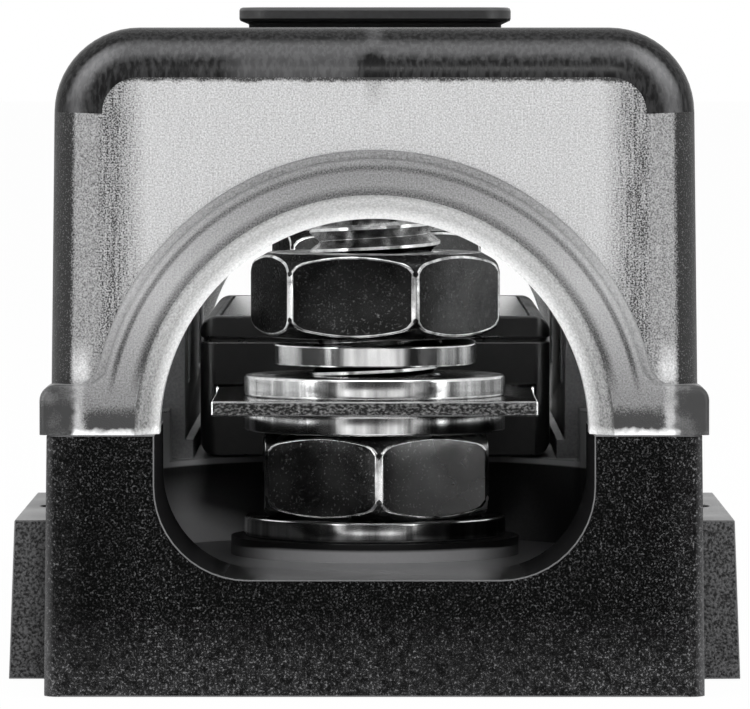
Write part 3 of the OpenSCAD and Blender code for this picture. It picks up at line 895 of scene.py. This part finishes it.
def combine(piece, other, operation):
    """Joins, cuts or trims a piece with another one, which is used up."""
    step = piece.modifiers.new(operation.lower(), "BOOLEAN")
    step.operation = operation
    step.object = other
    step.solver = "EXACT"
    take_only(piece)
    bpy.ops.object.modifier_apply(modifier=step.name)
    bpy.data.objects.remove(other)


def straight_bar(name, sides, radius, length, middle, turn):
    """A bar with the given number of sides, about its middle."""
    let_go()
    bpy.ops.mesh.primitive_cylinder_add(vertices=sides, radius=radius, depth=length, location=middle,
                                        rotation=turn)
    return settle(name)


def drawn_profile(name, points):
    """A line through the points: one vertex, moved to the first point and extruded to each next one."""
    let_go()
    bpy.ops.mesh.primitive_plane_add(size=MM)
    line = settle(name)
    open_mesh()
    bpy.ops.mesh.select_mode(type="VERT")
    pick_all()
    bpy.ops.mesh.merge(type="CENTER")
    bpy.ops.transform.translate(value=points[0])
    for before, after in zip(points, points[1:]):
        extrude(Vector(after) - Vector(before))
    close_mesh()
    return line


# %% [markdown]
# ## Clear cover: the shell
# The cover is one moulding. It could be drawn as rings of points, but it is easier to see it as a
# block: a cube gets its draft, its long edges are rounded, and then the round of each end follows
# that outline. A flat block makes the flange, and a smaller block hollows it out.

# %% Cover shell
COVER_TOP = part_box("top_plate")[0].z
COVER_FOOT = BASE_TOP
COVER_HALF_X, COVER_TOP_HALF_X, COVER_WALL, COVER_LONG_R = mm(18.9, 18.6, 1.9, 4.9)
FLANGE_HALF_X, FLANGE_END_Y, FLANGE_H, FLANGE_R = mm(19.4, 51, 2.9, 0.9)
# Blocks that meet end this far apart, so that no two of their faces lie in one plane
STEP = 0.02 * MM
LONG_STEPS, END_STEPS = 14, 10


def drafted_block(name, half_x, top_half_x, half_y, foot, top, long_r, end_r=0):
    """A block with draft, round long edges, and a round on each end that follows its outline."""
    let_go()
    bpy.ops.mesh.primitive_cube_add(size=1, location=(0, 0, (foot + top) / 2))
    bpy.context.active_object.scale = (2 * half_x, 2 * half_y, top - foot)
    block = settle(name)
    select_faces(block, lambda centre, normal: normal.z > FACING)
    bpy.ops.transform.resize(value=(top_half_x / half_x, 1, 1))
    select_edges(block, lambda a, b: min(a.z, b.z) > top - HAIR and abs(a.x - b.x) < HAIR)
    bevel(long_r, LONG_STEPS)
    if end_r:
        select_edges(block, lambda a, b: abs(a.y + b.y) > 2 * (half_y - HAIR)
                     and max(a.z, b.z) > foot + HAIR)
        bevel(end_r, END_STEPS)
    return block


cover = drafted_block("clear_cover", COVER_HALF_X, COVER_TOP_HALF_X, COVER_END_Y,
                      foot=COVER_FOOT + 2 * STEP, top=COVER_TOP, long_r=COVER_LONG_R, end_r=COVER_END_R)
flange = drafted_block("flange", FLANGE_HALF_X - STEP, FLANGE_HALF_X - STEP, FLANGE_END_Y,
                       foot=COVER_FOOT + STEP, top=COVER_FOOT + FLANGE_H - STEP, long_r=FLANGE_R)
combine(cover, flange, "UNION")
hollow = drafted_block("hollow", COVER_HALF_X - COVER_WALL, COVER_TOP_HALF_X - COVER_WALL,
                       COVER_END_Y - COVER_WALL, foot=COVER_FOOT - MM, top=COVER_TOP - COVER_WALL,
                       long_r=COVER_LONG_R - COVER_WALL, end_r=COVER_END_R - COVER_WALL)
combine(cover, hollow, "DIFFERENCE")
print("shell:", len(cover.data.polygons), "faces")

# %% [markdown]
# ## Clear cover: collars and feet
# Each end has a raised collar round the cable arch, which runs into the flange with a small hollow
# curve at each foot. The parts could be joined one by one, but their front faces lie in one plane,
# where a Boolean tears. So the whole front frame is drawn as one outline, filled, pushed inwards and
# rounded along its front edge. A wider and flatter one behind it makes the collar's shoulder.

# %% Collars and feet
COLLAR_R, COLLAR_DEPTH, COLLAR_ROUND = mm(16, 4, 0.3)
SHOULDER_R, SHOULDER_BACK, SHOULDER_ROUND = mm(16.5, 0.45, 0.25)
FOOT_R = 1.45 * MM
FLANGE_STEPS, FOOT_STEPS, COLLAR_STEPS, ROUND_STEPS = 8, 10, 56, 4


def pushed_outline(name, points, push):
    """A closed outline of (x, z) points at y = 0, filled and pushed along Y by push."""
    plate = drawn_profile(name, [(x, 0, z) for x, z in points])
    open_mesh()
    pick_all()
    bpy.ops.mesh.edge_face_add()
    extrude((0, push, 0))
    pick_all()
    bpy.ops.mesh.normals_make_consistent(inside=False)
    close_mesh()
    return plate


def arc(centre_x, centre_z, radius, start, end, steps):
    """Points along an arc, from one angle to another, both ends included."""
    angles = [start + (end - start) * i / steps for i in range(steps + 1)]
    return [(centre_x + radius * math.cos(a), centre_z + radius * math.sin(a)) for a in angles]


def frame_outline(half_x, flange_top, collar_r):
    """The collar with its feet and the end of the flange, as (x, z) above the joint."""
    centre_z = flange_top + FOOT_R
    centre_x = math.sqrt((collar_r + FOOT_R) ** 2 - centre_z ** 2)
    lean = math.atan2(centre_z, centre_x)
    right = [(half_x, 0)]
    right += arc(half_x - FLANGE_R, flange_top - FLANGE_R, FLANGE_R, 0, math.pi / 2, FLANGE_STEPS)
    right += arc(centre_x, centre_z, FOOT_R, 1.5 * math.pi, math.pi + lean, FOOT_STEPS)
    right += arc(0, 0, collar_r, lean, math.pi / 2, COLLAR_STEPS)[1:]
    return right + [(-x, z) for x, z in reversed(right[:-1])]


def front_frame(side, half_x, flange_top, collar_r, back, rounding):
    """One end's frame, its face back from the end face, with a rounded front edge."""
    outline = [(x, COVER_FOOT + z) for x, z in frame_outline(half_x, flange_top, collar_r)]
    face = COLLAR_DEPTH - back
    plate = pushed_outline("front_frame", outline, side * face)
    select_edges(plate, lambda a, b: min(a.y * side, b.y * side) > face - HAIR
                 and max(a.z, b.z) > COVER_FOOT + HAIR)
    bevel(rounding, ROUND_STEPS)
    shift(plate, (0, side * (END_Y - COLLAR_DEPTH), 0))
    return plate


def collar_and_shoulder(side):
    """Joins one end's shoulder, and the collar in front of it, to the cover."""
    shoulder = front_frame(side, FLANGE_HALF_X - STEP / 2, FLANGE_H - STEP / 2, SHOULDER_R,
                           SHOULDER_BACK, SHOULDER_ROUND)
    combine(cover, shoulder, "UNION")
    combine(cover, front_frame(side, FLANGE_HALF_X, FLANGE_H, COLLAR_R, 0, COLLAR_ROUND), "UNION")


print("collar outline:", len(frame_outline(FLANGE_HALF_X, FLANGE_H, COLLAR_R)), "points")

# %% [markdown]
# ## Clear cover: tabs and arches
# Four tabs hang down inside the base and keep the cover in place. A round bar that opens outwards cuts
# each arch and its bevel in one go; a bevel made afterwards would have to follow the collar's feet.

# %% Tabs and arches
TAB_LEN, TAB_T, TAB_DEPTH, TAB_PITCH, TAB_X = mm(8, 1.2, 2.6, 24, 15.9)
ARCH_STEPS = 144
ARCH_OVER = 0.05 * MM


def tab(side_x, place_y):
    """A tongue on the inside of the cover's wall that drops into the base."""
    near, far = TAB_X - TAB_T / 2, TAB_X + TAB_T / 2
    root = COVER_HALF_X - COVER_WALL / 2
    outline = [(near, -TAB_DEPTH), (far, -TAB_DEPTH), (far, 3 * STEP), (root, 3 * STEP),
               (root, FLANGE_H + TAB_T), (near, FLANGE_H)]
    tongue = pushed_outline("tab", [(side_x * x, COVER_FOOT + z) for x, z in outline], TAB_LEN)
    shift(tongue, (0, place_y - TAB_LEN / 2, 0))
    return tongue


def arch_cutter(side):
    """A round bar that opens outwards at the end face, to cut the arch and its bevel."""
    length = 2 * COLLAR_DEPTH - ARCH_BEVEL
    middle = (0, side * (END_Y - ARCH_BEVEL - length / 2), COVER_FOOT)
    cutter = straight_bar("arch", ARCH_STEPS, ARCH_R, length, middle, (math.pi / 2, 0, 0))
    select_faces(cutter, lambda centre, normal: normal.y * side > FACING)
    extrude((0, side * (ARCH_BEVEL + ARCH_OVER), 0))
    grow = (ARCH_R + ARCH_BEVEL + ARCH_OVER) / ARCH_R
    bpy.ops.transform.resize(value=(grow, 1, grow), center_override=(0, 0, COVER_FOOT))
    close_mesh()
    return cutter


for side in (-1, 1):
    collar_and_shoulder(side)
    for side_x in (-1, 1):
        combine(cover, tab(side_x, side * TAB_PITCH / 2), "UNION")
    combine(cover, arch_cutter(side), "DIFFERENCE")
print("cover:", len(cover.data.polygons), "faces")

# %% [markdown]
# ## Clear cover: finish by place
# The polished round at the top of each end, the bright bevel of the arch, the collar's face and the
# clearer long sides could be split into pieces, but the cover is one moulding. So its faces are picked
# by place and direction.

# %% Cover finish by place
for material in cover_finishes:
    cover.data.materials.append(material)
BAND_FOOT = COVER_TOP - COVER_LONG_R
BAND_ROOM = 1 * MM
FACES_END = 0.998


def cover_finish(centre, normal):
    """The number of the finish at a place on the cover."""
    end = abs(centre.y)
    ring = math.hypot(centre.x, centre.z - COVER_FOOT)
    flat = abs(normal.y) > FACES_END
    if end < COVER_END_Y - COVER_END_R:
        return ON_SIDE
    if not flat and centre.z > BAND_FOOT and ring > SHOULDER_R + BAND_ROOM:
        return ON_BAND
    if not flat and ring < ARCH_R + ARCH_BEVEL + HAIR:
        return ON_BEVEL
    return ON_COLLAR if end > COVER_END_Y + HAIR else ON_WALL


for face in cover.data.polygons:
    face.material_index = cover_finish(face.center, face.normal)
hand_over(cover, "cover", "clear_cover", "cover")

# %% [markdown]
# ## Plate on the cover
# A black plate sits on top of the cover on a narrower neck. It is the same black plastic, satin, and
# the neck lies in its shadow. Light alone could darken the neck, but the white surround reaches it.

# %% Plate
NECK_H, PLATE_ROUND, PLATE_LUMP = mm(0.5, 0.2, 0.2)
ON_NECK = 2
LOOKS_DOWN = -0.2
plate_face = satin_black("plate_face", 0.016, roughness=0.45, lump=PLATE_LUMP)
plate_edge = rubbed_sheen_edge("plate_edge", 0.04, roughness=0.35)
plate_neck = satin_black("plate_neck", 0.003, roughness=0.6, lump=PLATE_LUMP, shine=0.05)
plate = rounded_piece("top_plate", "cover_plate", "cover", "plate_plastic", PLATE_ROUND,
                      (plate_face, plate_edge, plate_neck))
for face in plate.data.polygons:
    if face.center.z < COVER_TOP + NECK_H or face.normal.z < LOOKS_DOWN:
        face.material_index = ON_NECK

# %% [markdown]
# ## Steel
# Nuts, washers and studs are plated steel. The flats of the nuts are pitted and painted dark, a painted
# dark reflection, with a painted highlight that makes one side paler. The lower nuts, in the well,
# get a copy painted paler for the light that reaches them. All edges are rubbed bright, and their
# brightness is partly a painted highlight. One metal would do for all of it, but the stamped washers
# are brighter than the forged nuts, so each kind has its own tone, roughness and pits.

# %% Steel materials
UPRIGHT = (1, 1, 0.05)
STEEL_PATCH = 1.6 * MM
PITTED = 0.01 * MM


def plated_steel(name, dark, light, roughness, lump, depth=PITTED, stretch=(1, 1, 1), cut=(0.35, 0.68),
                 rim=1.0, mottle=0.0, metal=1.0, lit=(0.0, MM, 0.0)):
    """Plated steel between two greys, in pits or in upright streaks, with uneven polish.

    cut is the stretch of the noise in which the grey goes from dark to light, rim is the grey of the
    mirror image at a glancing angle, and mottle is the weight of broad pale patches. lit gives two
    places along X between which a painted highlight makes the surface paler, and by how much."""
    material, tree, shader = start_material(name, (light,) * 3, roughness, Metallic=metal,
                                            Specular_Tint=(rim, rim, rim, 1))
    pits = grain(tree, lump, detail=3, stretch=stretch)
    patch = grain(tree, STEEL_PATCH, detail=3)
    painted_lit_side = times(tree, spread(tree, place_parts(tree)["X"], *lit[:2], 0, 1),
                      spread(tree, patch, 0.1, 0.9, 0.7, 1.2))
    share = weighted(tree, spread(tree, pits, *cut, 0, 1), (spread(tree, patch, 0.4, 0.75, 0, 1), mottle),
                     (painted_lit_side, lit[2]))
    feed(tree, shader, Base_Color=two_colours(tree, share, (dark,) * 3, (light,) * 3),
         Roughness=vary(tree, patch, 0.7 * roughness, 1.4 * roughness),
         Normal=relief(tree, pits, depth, 0.6))
    return material


# The upper nuts' flats are painted dark as a dark reflection, with a painted highlight towards +X. The
# lower nuts' copy is painted paler, for the light in the well.
nut_face = plated_steel("nut_face", dark=0.012, light=0.2, roughness=0.22, lump=0.07 * MM,
                        cut=(0.58, 0.84), rim=0.35, mottle=0.12, metal=0.9, lit=(3 * MM, 4.5 * MM, 0.3))
low_nut_lit_face = plated_steel("low_nut_lit_face", dark=0.012, light=0.75, roughness=0.25, lump=0.07 * MM,
                            cut=(0.6, 0.95), rim=0.5, mottle=0.1, metal=0.85,
                            lit=(0.5 * MM, 5.5 * MM, 0.6))
# Bright edges: rubbed steel, and partly a painted highlight.
nut_edge = plated_steel("nut_edge", dark=0.3, light=0.95, roughness=0.2, lump=0.6 * MM, cut=(0.36, 0.58))
nut_end = plated_steel("nut_end", dark=0.2, light=0.7, roughness=0.3, lump=0.4 * MM)
steel_edge = plated_steel("steel_edge", dark=0.7, light=0.95, roughness=0.16, lump=0.3 * MM)
washer_face = plated_steel("washer_face", dark=0.15, light=0.85, roughness=0.2, lump=0.5 * MM,
                           stretch=UPRIGHT)
spring_face = plated_steel("spring_face", dark=0.06, light=0.72, roughness=0.16, lump=1 * MM,
                           stretch=UPRIGHT, cut=(0.37, 0.58))
thread_face = plated_steel("thread_face", dark=0.12, light=0.5, roughness=0.18, lump=0.5 * MM)
blade_face = plated_steel("blade_face", dark=0.5, light=0.65, roughness=0.09, lump=0.2 * MM,
                          depth=0.002 * MM)
blade_edge = plated_steel("blade_edge", dark=0.03, light=0.48, roughness=0.3, lump=0.07 * MM,
                          depth=0.02 * MM, stretch=(0.6, 1, 1), cut=(0.44, 0.82))
print("materials:", len(bpy.data.materials))

# %% [markdown]
# ## Nuts
# A nut is cut from hexagon bar whose corners are a little round, and both of its ends are turned to
# a cone. That leaves each flat with the round ends that everyone knows. The solid has sharp corners,
# and a bevel on them would tangle with the cone. So the nut is made as it is in the shop: a bar with
# round corners, trimmed by a turned shape and bored. Its size and turn come from the solid.

# %% Nuts
ENDS = ("front", "rear")
NUT_CORNER, NUT_EDGE = mm(0.3, 0.1)
NUT_PROFILE = [mm(*pair) for pair in
               ((7.78, 1.5), (7.72, 1.05), (7.6, 0.75), (7.42, 0.54), (7.1, 0.36), (6.45, 0))]
NUT_CORNER_STEPS, NUT_EDGE_STEPS, TURNED_STEPS = 4, 3, 96
ON_NUT_END = 2
NUT_LEVEL = 0.95


def upright_bar(name, sides, radius, foot, top, turn=0):
    """An upright bar on the origin's axis, with its first corner turned from +X."""
    return straight_bar(name, sides, radius, top - foot, (0, 0, (top + foot) / 2),
                        (0, 0, turn - math.pi / 2))


def turned_ends(foot, top):
    """A round bar whose two ends are turned to the nuts' profile: radius, and distance from the end."""
    first_radius, first_depth = NUT_PROFILE[0]
    bar = upright_bar("turned", TURNED_STEPS, first_radius, foot + first_depth, top - first_depth)
    for way in (-1, 1):
        select_faces(bar, lambda centre, normal: normal.z * way > FACING)
        for (radius, depth), (next_radius, next_depth) in zip(NUT_PROFILE, NUT_PROFILE[1:]):
            extrude((0, 0, way * (depth - next_depth)))
            shrink = next_radius / radius
            bpy.ops.transform.resize(value=(shrink, shrink, 1), center_override=(0, 0, 0))
        close_mesh()
    return bar


def shop_nut(node, name, body, face_steel):
    """A nut cut from hexagon bar, at the size, place and turn of its solid."""
    low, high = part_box(node)
    middle = (low + high) / 2
    arms = [(point.co.x - middle.x, point.co.y - middle.y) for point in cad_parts[node].data.vertices]
    corner = max(arms, key=lambda arm: math.hypot(*arm))
    corner_r, bore_r = math.hypot(*corner), min(math.hypot(*arm) for arm in arms)
    nut = upright_bar(name, 6, corner_r, low.z, high.z, math.atan2(corner[1], corner[0]))
    for material in (face_steel, nut_edge, nut_end):
        nut.data.materials.append(material)
    select_edges(nut, lambda a, b: abs(a.z - b.z) > HAIR)
    bevel(NUT_CORNER, NUT_CORNER_STEPS, material=1)
    combine(nut, turned_ends(low.z, high.z), "INTERSECT")
    combine(nut, upright_bar("bore", TURNED_STEPS, bore_r, low.z - MM, high.z + MM), "DIFFERENCE")
    round_edges(nut, NUT_EDGE, NUT_EDGE_STEPS)
    shift(nut, (middle.x, middle.y, 0))
    for face in nut.data.polygons:
        if abs(face.normal.z) > NUT_LEVEL:
            face.material_index = ON_NUT_END
    hand_over(nut, body, "bright_steel", node)


for end in ENDS:
    shop_nut(f"{end}_top_nut", f"{end}_clamp_nut", f"{end}_nut", nut_face)
    shop_nut(f"{end}_lower_nut", f"{end}_stand_nut", "holder", low_nut_lit_face)

# %% [markdown]
# ## Washers
# The flat washers are stamped, so their rims show upright streaks, and the split rings are wound from
# square wire. Both could be made anew, but the solids already have their form, so they only get
# rounded edges.

# %% Washers
WASHER_ROUND, SPRING_ROUND = mm(0.16, 0.1)
for end in ENDS:
    for level in ("base", "contact", "upper"):
        rounded_piece(f"{end}_{level}_washer", f"{end}_{level}_disc", "holder", "bright_steel",
                      WASHER_ROUND, (washer_face, steel_edge), segments=3)
    rounded_piece(f"{end}_spring_washer", f"{end}_split_ring", "holder", "spring_steel", SPRING_ROUND,
                  (spring_face, steel_edge))

# %% [markdown]
# ## Threaded studs
# A thread is a V profile that climbs one pitch a turn. It could be faked with rings, but the crests
# slope and the slope shows. So a V is drawn and wound up by a Screw modifier, then cut to
# length and trimmed to the stud's solid.

# %% Studs
STUD_R, STUD_TAPER, HEAD_H, HEAD_ROUND = mm(4, 0.8, 3, 0.3)
PITCH, THREAD_DEPTH, CREST, TRIM_ROOM = mm(1.25, 0.62, 0.05, 0.02)
THREAD_ROOT = STUD_R - THREAD_DEPTH
THREAD_FORM = ((THREAD_ROOT, 0), (STUD_R, 0.42), (STUD_R, 0.56), (THREAD_ROOT, 0.96), (THREAD_ROOT, 1))
# Where the winding starts, in turns from the foot, and the turns that are cut off again
THREAD_START, SPARE_TURNS = -1.16, 2
THREAD_STEPS = 64
BAR_TURN = math.radians(120)


def wound_thread(name, foot, top):
    """A screw thread between two heights, closed at both ends, standing on the origin's axis."""
    start = foot + THREAD_START * PITCH
    thread = drawn_profile(name, [(radius, 0, start + share * PITCH) for radius, share in THREAD_FORM])
    wind = thread.modifiers.new("wind", "SCREW")
    wind.screw_offset = PITCH
    wind.iterations = math.ceil((top - foot) / PITCH) + SPARE_TURNS
    wind.steps = wind.render_steps = THREAD_STEPS
    wind.use_merge_vertices = True
    wind.merge_threshold = MERGE
    bpy.ops.object.modifier_apply(modifier="wind")
    open_mesh()
    for height, is_top in ((foot, False), (top, True)):
        pick_all()
        bpy.ops.mesh.bisect(plane_co=(0, 0, height), plane_no=(0, 0, 1), use_fill=True,
                            clear_inner=not is_top, clear_outer=is_top)
    pick_all()
    bpy.ops.mesh.remove_doubles(threshold=MERGE)
    bpy.ops.mesh.normals_make_consistent(inside=False)
    close_mesh()
    return thread


def bevelled_bar(name, sides, radius, foot, top, edge, steps):
    """An upright bar with a bevelled top edge."""
    bar = upright_bar(name, sides, radius, foot, top, BAR_TURN)
    select_faces(bar, lambda centre, normal: normal.z > FACING)
    bevel(edge, steps)
    return bar


def threaded_stud(end):
    """A stud: the thread, tapered at its end, on a hexagon head."""
    low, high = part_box(f"{end}_stud")
    middle = (low + high) / 2
    foot = low.z + HEAD_H
    stud = wound_thread(f"{end}_threaded_stud", foot, high.z)
    blank = bevelled_bar("blank", THREAD_STEPS, STUD_R + TRIM_ROOM, low.z, high.z, STUD_TAPER, 1)
    combine(stud, blank, "INTERSECT")
    head = bevelled_bar("head", 6, (high.x - low.x) / 2, low.z, foot, HEAD_ROUND, 2)
    take_only(stud)
    head.select_set(True)
    bpy.ops.object.join()
    shift(stud, (middle.x, middle.y, 0))
    for material in (thread_face, steel_edge):
        stud.data.materials.append(material)
    for face in stud.data.polygons:
        out = math.hypot(face.center.x - middle.x, face.center.y - middle.y)
        face.material_index = int(abs(out - STUD_R) < CREST)
    hand_over(stud, "holder", "stud_steel", f"{end}_stud")


for end in ENDS:
    threaded_stud(end)

# %% [markdown]
# ## Strip fuse
# A tinned strip with a slot at each end runs through a black housing with a clear window on top. The
# solids have its form. The strip was cut from sheet, so its edge is rougher than its faces. A bump on
# one metal could show that, but a finish of its own is plainer.

# %% Fuse
BLADE_ROUND, HOUSING_ROUND = mm(0.1, 0.12)
ON_CUT = 2
housing_face = satin_black("housing_face", 0.007, roughness=0.35, lump=0.3 * MM)
housing_edge = rubbed_sheen_edge("housing_edge", 0.012, roughness=0.35)
window_face = start_material("window_face", (0.8, 0.82, 0.83), 0.12, IOR=1.5, Transmission_Weight=0.9)[0]
blades = rounded_piece("fuse_strip", "fuse_blades", "holder", "fuse_metal", BLADE_ROUND,
                       (blade_face, steel_edge, blade_edge))
for face in blades.data.polygons:
    if face.material_index == 0 and abs(face.normal.z) < STEEP:
        face.material_index = ON_CUT
rounded_piece("fuse_housing", "fuse_body", "holder", "fuse_plastic", HOUSING_ROUND,
              (housing_face, housing_edge))
rounded_piece("fuse_window", "fuse_pane", "holder", "fuse_window", HOUSING_ROUND,
              (window_face, window_face))
